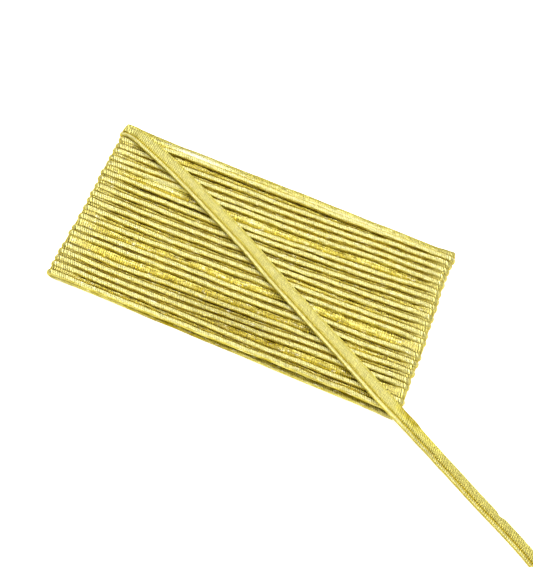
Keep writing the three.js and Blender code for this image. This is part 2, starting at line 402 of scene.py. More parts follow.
def wrap_section(ring, sizes):
    """Points of a wrap's section, from the flange's upper edge round to its lower edge."""
    radius = sizes.cord_diameter / MM / 2
    thickness = sizes.flange_thickness / MM
    lies_flat = ring.flat_to is not None
    steps = FLAT_FLANGE_STEPS if lies_flat else FLANGE_STEPS
    slack = 1 - ring.taut
    full_sink = FLAT_SINK if lies_flat else FLANGE_SINK - WIDE_LIFT * ring.wideness()
    full_drop = SEAM_DROP - WIDE_SEAM_LIFT * ring.wideness()
    seam_drop = blend(full_drop, TURN_SEAM_DROP, ring.taut)
    uneven = noise.noise(Vector((ring.middle.x / 24, ring.middle.y / 3, 9.1)))
    sink = blend(full_sink, TURN_FLANGE_SINK, ring.taut) + SINK_WANDER * uneven * slack
    shift = WIDE_SHIFT * ring.wideness() * slack
    seam_place = SEAM_PLACE + shift
    reach = max(NARROWEST_REACH, ring.pitch - ROOM_BESIDE_NEXT - seam_place)
    drop = sink - seam_drop
    upper = []
    for way, fall in steps:
        across = seam_place + reach * way
        height = -seam_drop - drop * fall
        bump = math.sin(math.pi * min(1.0, way * 0.9 + 0.06))
        spot = ring.middle + ring.across * across
        lift = place_effects(spot.x, spot.y)[0] if ring.out.z > 0.9 else 0.0
        crease = foil(spot, FLANGE_CELL, 0.0) * ring.crumple
        upper.append((across, height + bump * (lift + crease)))
    edge = ring.flat_to if lies_flat else ring.pitch + REACH_UNDER_NEXT
    edge_drop = sink + EDGE_TURN if lies_flat else sink
    upper.append((max(edge, seam_place + reach + EDGE_TURN), -edge_drop))
    upper.reverse()
    cord = []
    for degrees in CORD_ANGLES:
        angle = math.radians(degrees)
        size = radius * (1 + CORD_CREASE * foil(ring.round_cord(radius, angle), CORD_CELL, 4.0))
        width = size * (1 + TURN_WIDENING * ring.taut)
        cord.append((shift + width * math.cos(angle), size * math.sin(angle)))
    inner = (seam_place + SEAM_TUCK, -seam_drop - thickness)
    outer = (upper[0][0], upper[0][1] - thickness)
    return upper + cord + [inner, outer]


def loose_section(ring, sizes):
    """Points of the loose end's section, from the flange's upper edge round to its lower edge."""
    radius = sizes.cord_diameter / MM / 2
    thickness = sizes.flange_thickness / MM
    x = ring.middle.x
    turning = smooth(-x, *LOOSE_TURN)
    narrow = 1 - TURN_NARROWING * turning
    for low, high, share in NARROWINGS:
        narrow -= share * smooth(x, low, high)
    nick_place, nick_length, nick_share = NICK
    narrow -= nick_share * math.exp(-(((x - nick_place) / nick_length) ** 2))
    shift = DRIFT * within(x, *DRIFT_ALONG)
    hang = DROOP * within(x, *DROOP_ALONG)
    flange_width = LOOSE_FLANGE[-1][0] - radius
    upper = []
    for across, height in LOOSE_FLANGE:
        width = radius + (across - radius) * narrow
        share = (across - radius) / flange_width
        spot = ring.middle + ring.across * width
        wave = FLANGE_WAVE * share * foil(spot, WAVE_CELL, 2.0)
        wave += FLANGE_CREASE * foil(spot, FINE_CELL, 7.0)
        level = blend(height, TURN_HEIGHT * (1 - share * share), turning)
        upper.append((width + shift, level + wave - hang * share * share))
    upper.reverse()
    cord = []
    for degrees in LOOSE_CORD_ANGLES:
        angle = math.radians(degrees)
        crease = foil(ring.round_cord(radius, angle), CORD_CELL, 4.0)
        size = radius * (1 + LOOSE_CORD_CREASE * crease)
        across = LOOSE_CORD_SHIFT + LOOSE_CORD_WIDTH * size * math.cos(angle)
        cord.append((across + shift, size * math.sin(angle)))
    lower = []
    for index in UNDERSIDE_POINTS:
        across, height = upper[index]
        lower.append((across, max(height - thickness + UNDERSIDE_ROOM, -radius - hang)))
    return upper + cord + lower


def along_u(section):
    """Distance round a section from the cord's crest, in metres, far side positive."""
    crest = max(range(len(section)), key=lambda i: section[i][1])
    steps = [0.0]
    for (a, b), (c, d) in zip(section, section[1:] + section[:1]):
        steps.append(steps[-1] + math.hypot(c - a, d - b))
    return [(steps[crest] - step) * MM for step in steps]


def wrap_tone(ring, across, out):
    """How much painted light or painted shade the winding has at one point of a section."""
    spot = ring.middle + ring.across * across
    if ring.out.z > 0.5:
        # On top: the places' painted glare and painted shade, and painted shade on wide flanges
        wide = ring.wideness() * within(across, *WIDE_GLOOM_ACROSS)
        return place_effects(spot.x, spot.y)[1] - WIDE_GLOOM * wide
    # Below on the near side: painted light, with painted shadow on the underside and where the wraps above
    # hide it
    if spot.y < NEAR_SIDE and out < 0.5:
        hidden = within(spot.x, *NEAR_GLOOM_ALONG)
        return NEAR_TONE - NEAR_GLOOM * max(hidden, smooth(across, *NEAR_UNDERSIDE))
    return 0.0


def loose_tone(ring, across, out):
    """How much painted light or painted shade the loose end has at one point of a section."""
    x = ring.middle.x
    beyond = smooth(x, *BEYOND)
    starts = [place - FLANGE_NEARER * beyond for place in FLANGE_STARTS]
    tone = blend(blend(*CORD_TONE, beyond), blend(*FLANGE_TONE, beyond), smooth(across, *starts))
    # Painted shade on the strip where it drops off the bundle, and along its edge
    tone -= STRIP_GLOOM * smooth(across, *STRIP_ACROSS) * within(x, *STRIP_ALONG)
    return tone - EDGE_GLOOM * smooth(across, *EDGE_ACROSS)


def tube(name, islands, materials, sizes):
    """A mesh of closed tubes, each a list of rings with its ways of making sections and tones of painted
    light and shade.

    There is one material for each tube. The map named Trim holds the distance round the trim and the
    distance along it, in metres."""
    points = []
    tones = []
    faces = []
    map_points = []
    slots = []
    walked = 0.0
    for slot, (rings, make_section, tone_at) in enumerate(islands):
        base = len(points)
        sections = [make_section(ring, sizes) for ring in rings]
        count = len(sections[0])
        around = along_u(sections[0])
        lengths = []
        for index, (ring, section) in enumerate(zip(rings, sections)):
            if index:
                walked += (ring.middle - rings[index - 1].middle).length
            lengths.append(walked * MM)
            for across, out in section:
                points.append((ring.middle + ring.across * across + ring.out * out) * MM)
                tones.append(tone_at(ring, across, out))
        for row in range(len(rings) - 1):
            for column in range(count):
                after = (column + 1) % count
                a = base + row * count
                b = a + count
                faces.append((a + column, a + after, b + after, b + column))
                u0, u1 = around[column], around[column + 1]
                v0, v1 = lengths[row], lengths[row + 1]
                map_points.extend(((u0, v0), (u1, v0), (u1, v1), (u0, v1)))
        for row, backwards in ((0, True), (len(rings) - 1, False)):
            cap = [base + row * count + column for column in range(count)]
            places = [(around[column], lengths[row]) for column in range(count)]
            faces.append(tuple(reversed(cap)) if backwards else tuple(cap))
            map_points.extend(reversed(places) if backwards else places)
        slots.extend([slot] * (len(faces) - len(slots)))
    mesh = bpy.data.meshes.new(name)
    mesh.from_pydata(points, [], faces)
    layer = mesh.uv_layers.new(name="Trim")
    layer.data.foreach_set("uv", np.array(map_points, dtype=np.float32).ravel())
    # The Tone attribute carries painted light and painted shade
    mesh.attributes.new("Tone", "FLOAT", "POINT").data.foreach_set("value", tones)
    mesh.polygons.foreach_set("use_smooth", [len(face) == 4 for face in faces])
    cap_edges = set()
    for face in faces:
        if len(face) > 4:
            cap_edges.update(tuple(sorted(pair)) for pair in zip(face, face[1:] + face[:1]))
    for edge in mesh.edges:
        edge.use_edge_sharp = tuple(sorted(edge.vertices)) in cap_edges
    for material in materials:
        mesh.materials.append(material)
    mesh.polygons.foreach_set("material_index", slots)
    mesh.update()
    thing = bpy.data.objects.new(name, mesh)
    bpy.context.collection.objects.link(thing)
    return thing


def face_outwards(thing):
    """Turns every face of a closed mesh to the outside."""
    net = bmesh.new()
    net.from_mesh(thing.data)
    bmesh.ops.recalc_face_normals(net, faces=net.faces)
    net.to_mesh(thing.data)
    net.free()


def tautness(x, left, right):
    """How taut the flanges are near the ends of a run, where the turns begin."""
    at_right = smooth(x, *(right - inwards for inwards in RIGHT_TAUT_FROM))
    at_left = smooth(-x, *(left - inwards for inwards in LEFT_TAUT_FROM))
    return max(RIGHT_TAUTNESS * at_right, LEFT_TAUTNESS * at_left)


def winding_rings(sizes):
    """Rings of the trim round the bundle, from the first run below to the last one."""
    half = sizes.bundle_thickness / MM / 2
    cord_out = half - sizes.cord_diameter / MM / 2
    far_edge = sizes.far_edge / MM
    step = sizes.ring_step / MM
    count = len(WRAPS)

    from_wrap_to_wrap = [(near[0][-1], far[0][0]) for near, far in zip(WRAPS[1:], WRAPS[2:])]
    runs_below = (FIRST_RUN_BELOW, SECOND_RUN_BELOW, *from_wrap_to_wrap, LAST_RUN_BELOW)

    def top(row, x):
        return course(WRAPS[row][0], x) + wander(x, row, *TOP_WANDER)

    def below(row, x, left, right):
        at_right, at_left = runs_below[row]
        share = (x + left) / (left + right)
        return blend(at_left, at_right, share) + wander(x, row + 40, *BELOW_WANDER)

    rings = []

    def turn(side, reach, from_y, to_y, pitch):
        centre = side * (reach - half)
        start_taut = RIGHT_TAUTNESS if side > 0 else LEFT_TAUTNESS
        for i in range(1, TURN_STEPS):
            share = i / TURN_STEPS
            angle = math.pi * (0.5 - share) if side > 0 else math.pi * (share - 0.5)
            out = Vector((side * math.cos(angle), 0, math.sin(angle)))
            y = blend(from_y, to_y, share)
            middle = Vector((centre, y, half)) + out * cord_out
            taut = start_taut + (1 - start_taut) * math.cos(angle)
            rings.append(Ring(middle, out, (0, 1, 0), pitch, taut))

    for row in range(count + 1):
        left = WRAPS[min(row, count - 1)][1]
        right = WRAPS[max(row - 1, 0)][2]
        start = right - half if row else FIRST_RUN_START
        end = -(left - half) if row < count else LAST_RUN_END
        for x in np.linspace(start, end, int((start - end) / (step * BELOW_COARSER))):
            y = below(row, x, left, right)
            next_y = below(row + 1, x, left, right) if row < count else far_edge - FAR_EDGE_ROOM
            taut = tautness(x, left, right)
            flat_to = None if row < count else far_edge - y
            middle = (x, y, half - cord_out)
            rings.append(Ring(middle, (0, 0, -1), (0, 1, 0), next_y - y, taut, CRUMPLE_BELOW, flat_to))
        if row == count:
            break
        last = row == count - 1
        left_y = top(row, -(left - half))
        left_pitch = (LAST_TURN_PLACE if last else top(row + 1, -(left - half))) - left_y
        turn(-1, left, rings[-1].middle.y, left_y, left_pitch)
        start = -(left - half)
        end = WRAPS[row][2] - half
        for x in np.linspace(start, end, int((end - start) / step)):
            y = top(row, x)
            pitch = far_edge - y - FAR_EDGE_ROOM if last else top(row + 1, x) - y
            taut = tautness(x, left, WRAPS[row][2])
            lively = 1 - smooth(abs(x), *STILL_ENDS)
            height = half + cord_out + wander(x, row + 80, *HEIGHT_WANDER) * lively
            flat_to = far_edge - y if last else None
            ring = Ring((x, y, height), (0, 0, 1), (0, 1, 0), pitch, taut, flat_to=flat_to)
            ring.crumple = (CRUMPLE + WIDE_CRUMPLE * ring.wideness()) * lively
            rings.append(ring)
        right = WRAPS[row][2]
        next_y = below(row + 1, right - half, left, right)
        turn(1, right, rings[-1].middle.y, next_y, rings[-1].pitch)
    return rings


def smooth_route(points, step):
    """Points a step apart on a smooth curve through the route's points, in millimetres."""
    points = [Vector(point) for point in points]
    ends = [points[0] * 2 - points[1], *points, points[-1] * 2 - points[-2]]
    fine = []
    for a, b, c, d in zip(ends, ends[1:], ends[2:], ends[3:]):
        for i in range(CURVE_STEPS):
            t = i / CURVE_STEPS
            bent = (2 * a - 5 * b + 4 * c - d) * t * t + (3 * b - a - 3 * c + d) * t ** 3
            fine.append(0.5 * (2 * b + (c - a) * t + bent))
    fine.append(points[-1])
    walked = [0.0]
    for a, b in zip(fine, fine[1:]):
        walked.append(walked[-1] + (b - a).length)
    count = round(walked[-1] / step)
    wanted = np.linspace(0, walked[-1], count + 1)
    table = np.array(fine)
    return [Vector([np.interp(w, walked, table[:, k]) for k in range(3)]) for w in wanted]


def route_rings(points):
    """Rings along a route, with across level and towards the bundle's far side."""
    rings = []
    for i, point in enumerate(points):
        ahead = points[min(i + 1, len(points) - 1)] - points[max(i - 1, 0)]
        ahead.normalize()
        flat = Vector((ahead.x, ahead.y, 0))
        if ahead.x < 0 or flat.length < STEEP:
            across = Vector((0, 1, 0))
        else:
            across = Vector((-ahead.y, ahead.x, 0)).normalized()
        out = ahead.cross(across).normalized()
        rings.append(Ring(point, out, across))
    return rings


def loose_course(step):
    """The whole course of the loose end as rings, and the ring where it leaves the winding."""
    points = smooth_route(TURN_ROUTE + LOOSE_ROUTE, step)
    leave = min(range(len(points)), key=lambda i: (points[i] - Vector(TURN_ROUTE[-1])).length)
    return route_rings(points), leave


def new_group(name, inputs, outputs):
    """A shader node group with sockets named by kind, and what it is given and what it gives inside."""
    group = bpy.data.node_groups.new(name, "ShaderNodeTree")
    for side, kinds in (("INPUT", inputs), ("OUTPUT", outputs)):
        for kind, labels in kinds.items():
            for label in labels:
                group.interface.new_socket(label, in_out=side, socket_type="NodeSocket" + kind)
    start = group.nodes.new("NodeGroupInput")
    end = group.nodes.new("NodeGroupOutput")
    return group, start.outputs, end.inputs


def math_node(tree, operation, *values):
    """A math node whose inputs are numbers or sockets."""
    node = tree.nodes.new("ShaderNodeMath")
    node.operation = operation
    for socket, value in zip(node.inputs, values):
        if isinstance(value, (int, float)):
            socket.default_value = value
        else:
            tree.links.new(value, socket)
    return node.outputs[0]


def ramp_between(tree, value, low, high, start=0.0, end=1.0):
    """A smooth change from start to end as value goes from low to high."""
    node = tree.nodes.new("ShaderNodeMapRange")
    node.interpolation_type = "SMOOTHSTEP"
    tree.links.new(value, node.inputs["Value"])
    node.inputs["From Min"].default_value = low
    node.inputs["From Max"].default_value = high
    node.inputs["To Min"].default_value = start
    node.inputs["To Max"].default_value = end
    return node.outputs["Result"]


def noise_node(tree, vector, scale, detail, roughness=0.5):
    """A noise texture's value at a vector."""
    node = tree.nodes.new("ShaderNodeTexNoise")
    tree.links.new(vector, node.inputs["Vector"])
    if isinstance(scale, (int, float)):
        node.inputs["Scale"].default_value = scale
    else:
        tree.links.new(scale, node.inputs["Scale"])
    node.inputs["Detail"].default_value = detail
    node.inputs["Roughness"].default_value = roughness
    return node.outputs["Fac"]


def product(tree, *factors):
    """Numbers or sockets multiplied one after another."""
    result = factors[0]
    for factor in factors[1:]:
        result = math_node(tree, "MULTIPLY", result, factor)
    return result


def mix_colours(tree, share, first, second, way="MIX"):
    """Two colours mixed by a share."""
    node = tree.nodes.new("ShaderNodeMix")
    node.data_type = "RGBA"
    node.blend_type = way
    for socket, value in ((node.inputs[0], share), (node.inputs[6], first), (node.inputs[7], second)):
        if isinstance(value, bpy.types.NodeSocket):
            tree.links.new(value, socket)
        else:
            socket.default_value = value
    return node.outputs[2]


def vector_parts(tree, vector):
    """The three parts of a vector."""
    node = tree.nodes.new("ShaderNodeSeparateXYZ")
    tree.links.new(vector, node.inputs[0])
    return node.outputs


def rib_weave_group():
    """Crosswise ribs of the ribbon, with finer threads along it."""
    group, given, result = new_group(
        "Rib Weave",
        {"Vector": ("Trim Map",), "Float": ("Rib Spacing", "Thread Spacing", "Thread Share")},
        {"Float": ("Height", "Grooves")},
    )
    parts = vector_parts(group, given["Trim Map"])
    unevenness = noise_node(group, given["Trim Map"], WEAVE_SCALE, 2.0)
    shift = math_node(group, "MULTIPLY", unevenness, WEAVE_UNEVENNESS)
    slanted = math_node(group, "MULTIPLY_ADD", parts["X"], RIB_SLANT, parts["Y"])
    along = math_node(group, "DIVIDE", slanted, given["Rib Spacing"])
    ribs = math_node(group, "SINE", math_node(group, "MULTIPLY_ADD", along, math.tau, shift))
    across = math_node(group, "DIVIDE", parts["X"], given["Thread Spacing"])
    threads = math_node(group, "SINE", math_node(group, "MULTIPLY_ADD", across, math.tau, shift))
    mixed = math_node(group, "MULTIPLY_ADD", threads, given["Thread Share"], ribs)
    height = math_node(group, "MULTIPLY_ADD", mixed, WEAVE_DEPTH, 0.5)
    group.links.new(height, result["Height"])
    # Grooves marks the low parts of the weave, which take painted shade
    group.links.new(ramp_between(group, height, 0.15, 0.55, 1.0, 0.0), result["Grooves"])
    return group


def foil_crinkle_group():
    """Small flat facets of metallised ribbon that has been handled."""
    group, given, result = new_group(
        "Foil Crinkle",
        {"Vector": ("Trim Map",), "Float": ("Scale",)},
        {"Float": ("Height", "Glints")},
    )
    cells = group.nodes.new("ShaderNodeTexVoronoi")
    cells.feature = "SMOOTH_F1"
    cells.inputs["Smoothness"].default_value = 0.35
    group.links.new(given["Trim Map"], cells.inputs["Vector"])
    group.links.new(given["Scale"], cells.inputs["Scale"])
    rough = noise_node(group, given["Trim Map"], given["Scale"], 4.0, 0.6)
    height = math_node(group, "MULTIPLY_ADD", cells.outputs["Distance"], 0.6, rough)
    group.links.new(height, result["Height"])
    # Glints marks small spots that take a painted highlight
    group.links.new(ramp_between(group, rough, 0.56, 0.72), result["Glints"])
    return group


def scaled_vector(tree, vector, scales):
    """A vector with each of its parts multiplied."""
    node = tree.nodes.new("ShaderNodeVectorMath")
    node.operation = "MULTIPLY"
    tree.links.new(vector, node.inputs[0])
    node.inputs[1].default_value = scales
    return node.outputs[0]


def gold_tone_group():
    """Colour of the ribbon, with how rough it is and how calm.

    It has painted highlight on the crest and painted glare where its tone is high, painted shade in the
    seam, under the cord and in clumps where its tone is low, and deeper streaks and ochre patches at
    random."""
    group, given, result = new_group(
        "Gold Tone",
        {
            "Vector": ("Trim Map", "Position"),
            "Color": ("Bright", "Pale", "Ochre", "Deep"),
            "Float": ("Tone", "Seam Start", "Seam End", "Seam Share", "Patch Share", "Streak Share"),
        },
        {"Color": ("Color",), "Float": ("Roughness", "Calm")},
    )
    tone = given["Tone"]
    streak_share = given["Streak Share"]

    def along_trim(scales, detail):
        return noise_node(group, scaled_vector(group, given["Trim Map"], scales), 1.0, detail)

    def tinted(colour, label, *factors):
        return mix_colours(group, product(group, *factors), colour, given[label])

    around = vector_parts(group, given["Trim Map"])["X"]
    height = vector_parts(group, given["Position"])["Z"]
    # Glare is painted light where the tone is high, gloom painted shade where it is low
    glare = ramp_between(group, tone, 0.0, 1.0)
    gloom = ramp_between(group, tone, -0.9, -0.1, 1.0, 0.0)
    # Painted highlight on the cord's crest; calm is that or painted glare
    crest = ramp_between(group, math_node(group, "ABSOLUTE", around), *CREST_FADES, 1.0, 0.0)
    calm = math_node(group, "MAXIMUM", crest, glare)
    uneven = math_node(group, "SUBTRACT", 1.0, calm)
    fine = along_trim(STREAK_SCALES, 3.0)
    slow = along_trim(SLOW_SCALES, 2.0)
    patches = noise_node(group, given["Position"], PATCH_SCALE, 5.0, 0.6)
    pale_streak = product(group, ramp_between(group, fine, 0.36, 0.5, 1.0, 0.0), streak_share)
    # Painted shade in the seam, deepened at random along it by gap
    past_start = math_node(group, "SUBTRACT", around, given["Seam Start"])
    past_end = math_node(group, "SUBTRACT", around, given["Seam End"])
    seam = product(
        group,
        ramp_between(group, past_start, *SEAM_FADES_IN),
        ramp_between(group, past_end, *SEAM_FADES_OUT, 1.0, 0.0),
    )
    patch = ramp_between(group, patches, 0.48, 0.7)
    gap = ramp_between(group, slow, 0.42, 0.6, 1.0, 0.0)
    depth = ramp_between(group, slow, 0.38, 0.62, 0.1, 1.0)
    # Painted shade under the cord's near flank on the upper layer, weaker under painted glare
    under_cord = ramp_between(group, around, *UNDER_CORD, 1.0, 0.0)
    upper_layer = ramp_between(group, height, *UPPER_LAYER)
    slack = ramp_between(group, tone, 0.1, 0.6, 1.0, 0.2)
    streak = ramp_between(group, fine, 0.5, 0.64)
    clump = ramp_between(group, patches, 0.3, 0.6, 1.0, 0.55)
    # Bright Gold as painted highlight and painted glare, and pale streaks at random
    colour = tinted(given["Pale"], "Bright", math_node(group, "MAXIMUM", calm, pale_streak))
    colour = tinted(colour, "Ochre", patch, given["Patch Share"], uneven)
    colour = tinted(colour, "Ochre", seam, given["Seam Share"])
    colour = tinted(colour, "Deep", seam, gap, streak_share, uneven)
    colour = tinted(colour, "Deep", under_cord, upper_layer, depth, slack)
    colour = tinted(colour, "Deep", streak, uneven, streak_share)
    # Painted shade in clumps where the tone is low
    colour = tinted(colour, "Deep", gloom, clump)
    shade = ramp_between(group, along_trim(SPECK_SCALES, 2.0), 0.3, 0.7, 0.87, 1.09)
    specks = group.nodes.new("ShaderNodeCombineColor")
    for socket in specks.inputs:
        group.links.new(shade, socket)
    colour = mix_colours(group, 1.0, colour, specks.outputs[0], "MULTIPLY")
    group.links.new(colour, result["Color"])
    group.links.new(calm, result["Calm"])
    group.links.new(ramp_between(group, patches, 0.35, 0.7, 0.28, 0.42), result["Roughness"])
    return group


def group_node(tree, group, values, links):
    """A group placed in a material, with its own values and links."""
    node = tree.nodes.new("ShaderNodeGroup")
    node.node_tree = group
    for label, value in values.items():
        node.inputs[label].default_value = value
    for label, socket in links.items():
        tree.links.new(socket, node.inputs[label])
    return node


def shared_group(name, make):
    """The group of that name, made the first time that it is asked for."""
    return bpy.data.node_groups.get(name) or make()


def shaded_colour(colour, shade):
    """A colour multiplied by a shade."""
    return [part * shade for part in colour[:3]] + [1.0]


def gold_ribbon(name, colours, shade, relief, tone_values):
    """The metallised ribbon's material, its colours multiplied by a shade, which on the loose end is
    painted shade.

    Its relief gives the depths of its ribs and creases in millimetres, how much its lengthwise threads
    count, how dark the painted shade in its grooves is, how many of its creases take painted glints, and
    how much calmer all of these are at the bundle's turned ends."""
    material = bpy.data.materials.new(name)
    material.use_nodes = True
    tree = material.node_tree
    shader = tree.nodes["Principled BSDF"]
    place = tree.nodes.new("ShaderNodeTexCoord")
    trim_map = tree.nodes.new("ShaderNodeUVMap")
    trim_map.uv_map = "Trim"
    # Tone carries the painted light and painted shade of each point
    tones = tree.nodes.new("ShaderNodeAttribute")
    tones.attribute_name = "Tone"
    full = {"Bright": colours.bright, "Pale": colours.pale, "Ochre": colours.ochre, "Deep": colours.deep}
    own_colours = {label: shaded_colour(colour, shade) for label, colour in full.items()}
    tone = group_node(
        tree,
        shared_group("Gold Tone", gold_tone_group),
        {**own_colours, **tone_values},
        {
            "Trim Map": trim_map.outputs[0],
            "Position": place.outputs["Object"],
            "Tone": tones.outputs["Fac"],
        },
    )
    ribs = group_node(
        tree,
        shared_group("Rib Weave", rib_weave_group),
        {
            "Rib Spacing": colours.rib_spacing,
            "Thread Spacing": THREAD_SPACING,
            "Thread Share": relief["threads"],
        },
        {"Trim Map": trim_map.outputs[0]},
    )
    crinkle = group_node(
        tree,
        shared_group("Foil Crinkle", foil_crinkle_group),
        {"Scale": CRINKLE_SCALE},
        {"Trim Map": scaled_vector(tree, trim_map.outputs[0], CRINKLE_SCALES)},
    )
    from_middle = math_node(tree, "ABSOLUTE", vector_parts(tree, place.outputs["Object"])["X"])
    turned = ramp_between(tree, from_middle, *CALMER_ENDS, 0.0, relief["turned"])
    lively = math_node(tree, "SUBTRACT", 1.0, turned)
    rib_height = product(tree, ribs.outputs["Height"], relief["ribs"], lively)
    smoother = math_node(tree, "MULTIPLY_ADD", tone.outputs["Calm"], -CALM_SMOOTHING, 1.0)
    creased = product(tree, crinkle.outputs["Height"], lively, smoother)
    height = math_node(tree, "MULTIPLY_ADD", creased, relief["creases"], rib_height)
    bump = tree.nodes.new("ShaderNodeBump")
    bump.inputs["Strength"].default_value = 1.0
    bump.inputs["Distance"].default_value = MM
    tree.links.new(height, bump.inputs["Height"])
    # At the turned ends the colour goes to Turn Gold, partly painted shade against the light the smoothed
    # ends catch
    turn_share = product(tree, turned, TURN_COLOUR_SHARE)
    calmer = mix_colours(tree, turn_share, tone.outputs["Color"], colours.turn)
    # Painted shade in the grooves between the ribs, in Deep Gold
    grooves = product(tree, ribs.outputs["Grooves"], relief["grooves"], lively)
    grooved = mix_colours(tree, grooves, calmer, colours.deep)
    # Painted glare where the tone is high and painted glints in small spots, in the Glint colour
    glare = ramp_between(tree, tones.outputs["Fac"], 0.6, 1.2, 0.0, 0.8)
    glints = product(tree, crinkle.outputs["Glints"], relief["glints"], lively)
    glinting = mix_colours(tree, math_node(tree, "MAXIMUM", glints, glare), grooved, colours.glint)
    tree.links.new(glinting, shader.inputs["Base Color"])
    tree.links.new(tone.outputs["Roughness"], shader.inputs["Roughness"])
    tree.links.new(bump.outputs["Normal"], shader.inputs["Normal"])
    shader.inputs["Metallic"].default_value = colours.metallic
    shader.inputs["Specular Tint"].default_value = colours.edge_tint
    shader.inputs["Coat Weight"].default_value = colours.coat
    shader.inputs["Coat Roughness"].default_value = 0.25
    shader.inputs["Coat IOR"].default_value = 1.8
    return material


def wound_ribbon(colours):
    """The ribbon of the wraps: handled, creased and streaky."""
    # The seam values set where the seam's painted shade lies and how strong it is; the patch and streak
    # shares set random colour, and the streak share also deepens the seam's painted shade
    tone_values = {
        "Seam Start": 0.0014,
        "Seam End": 0.0028,
        "Seam Share": 0.95,
        "Patch Share": 0.3,
        "Streak Share": 0.7,
    }
    relief = dict(ribs=0.5, creases=0.55, threads=0.2, grooves=0.25, glints=0.6, turned=0.2)
    return gold_ribbon("wound_ribbon", colours, 1.0, relief, tone_values)


def loose_ribbon(colours):
    """The ribbon of the loose end: smoother, with its grid of threads plain to see, and darkened by painted
    shade.
    """
    name = "loose_ribbon"
    # The seam values set the painted shade in the seam beside the cord
    tone_values = {
        "Seam Start": 0.0001,
        "Seam End": 0.0034,
        "Seam Share": 0.9,
        "Patch Share": 0.1,
        "Streak Share": 0.15,
    }
    relief = dict(ribs=0.28, creases=0.15, threads=0.8, grooves=0.12, glints=0.3, turned=0.0)
    made = bpy.data.materials.get(name)
    return made or gold_ribbon(name, colours, colours.loose_painted_shade, relief, tone_values)


def studio_floor(colours):
    """A plain pale floor with a faint unevenness."""
    material = bpy.data.materials.new("studio_floor")
    material.use_nodes = True
    tree = material.node_tree
    shader = tree.nodes["Principled BSDF"]
    place = tree.nodes.new("ShaderNodeTexCoord")
    cloud = noise_node(tree, place.outputs["Object"], 6.0, 2.0)
    share = ramp_between(tree, cloud, 0.3, 0.7, 0.0, 0.04)
    colour = mix_colours(tree, share, colours.floor, (0.8, 0.8, 0.8, 1))
    tree.links.new(colour, shader.inputs["Base Color"])
    shader.inputs["Roughness"].default_value = 0.9
    shader.inputs["Emission Color"].default_value = (1, 1, 1, 1)
    shader.inputs["Emission Strength"].default_value = colours.floor_glow
    return material


def metres(name, description, default):
    """A length that a user can change, in metres."""
    return FloatProperty(name=name, description=description, default=default, unit="LENGTH")


def tint(name, description, default):
    """An opaque colour that a user can change."""
    return FloatVectorProperty(
        name=name,
        description=description,
        default=(*default, 1.0),
        size=4,
        subtype="COLOR",
    )


class TrimSizes(bpy.types.PropertyGroup):
    """Sizes of the trim and of the bundle."""

    cord_diameter: metres("Cord Diameter", "Thickness of the round cord in the trim's edge", 0.004)
    flange_reach: metres("Flange Reach", "Width of the flat flange beside the cord", 0.007)
    flange_thickness: metres("Flange Thickness", "Thickness of the folded ribbon in the flange", 0.0009)
    bundle_thickness: metres(
        "Bundle Thickness",
        "Height of the bundle, one layer of wraps above and one below",
        0.011,
    )
    far_edge: metres("Far Edge", "How far the last wrap's flange lies from the bundle's middle", 0.061)
    ring_step: metres("Ring Step", "Spacing of the mesh along the wraps on top", 0.0015)
    loose_step: metres("Loose End Step", "Spacing of the mesh along the loose end", 0.001)


class TrimColours(bpy.types.PropertyGroup):
    """Colours and finish of the ribbon, and the floor's."""

    # Bright Gold is a painted highlight on the cord's crest and painted glare where the tone is high
    bright: tint(
        "Bright Gold",
        "The ribbon's colour on the cord's crest and where it is worn pale",
        (0.85, 0.81, 0.345),
    )
    # Glint is a painted highlight, in small spots and under painted glare
    glint: tint("Glint", "The ribbon's colour in small spots where its foil shines", (1.0, 0.98, 0.7))
    pale: tint("Pale Gold", "The ribbon's own colour", (0.68, 0.595, 0.115))
    # Turn Gold is darker in part as painted shade, against the light that the smoothed turned ends catch
    turn: tint(
        "Turn Gold",
        "The ribbon's calmer colour where it turns round the bundle's ends",
        (0.47, 0.415, 0.13),
    )
    # Ochre is painted shade in the seam, and the ribbon's own colour in random patches
    ochre: tint("Ochre", "The ribbon's colour in the seam and in patches", (0.56, 0.42, 0.02))
    # Deep Gold is painted shade under the cord, between the ribs, in the seam and in dark places, and the
    # colour of random dark streaks
    deep: tint("Deep Gold", "The ribbon's colour under the cord and between its ribs", (0.31, 0.225, 0.002))
    # The loose end's colours are a darker copy of the winding's: painted shade
    loose_painted_shade: FloatProperty(
        name="Loose End Shade",
        description="How dark the loose end's colours are beside the winding's",
        default=0.9,
        subtype="FACTOR",
    )
    edge_tint: tint("Edge Tint", "Tint of the ribbon's gloss where it is seen edge on", (0.8, 0.65, 0.15))
    metallic: FloatProperty(
        name="Metallic",
        description="How much of the ribbon's gloss is metal",
        default=1.0,
        subtype="FACTOR",
    )
    coat: FloatProperty(
        name="Coat",
        description="Clear gloss over the metal, which whitens its glints",
        default=0.06,
        subtype="FACTOR",
    )
    rib_spacing: metres("Rib Spacing", "Distance from one crosswise rib to the next", 0.0016)
    floor: tint("Floor", "Colour of the studio floor", (0.92, 0.92, 0.92))
    floor_glow: FloatProperty(
        name="Floor Glow",
        description="Light that the floor gives off, which softens shadows on it",
        default=0.45,
    )


class StudioLight(bpy.types.PropertyGroup):
    """Strengths of the studio light."""

    sky: FloatProperty(name="Sky", description="Strength of the soft light from above", default=0.75)
    horizon: FloatProperty(
        name="Horizon",
        description="Strength of the soft light from the sides",
        default=0.25,
    )
    key: FloatProperty(
        name="Key Light",
        description="Power of the large light overhead",
        default=22.0,
        unit="POWER",
    )
    near: FloatProperty(
        name="Near Light",
        description="Power of the light on the near side",
        default=4.0,
        unit="POWER",
    )


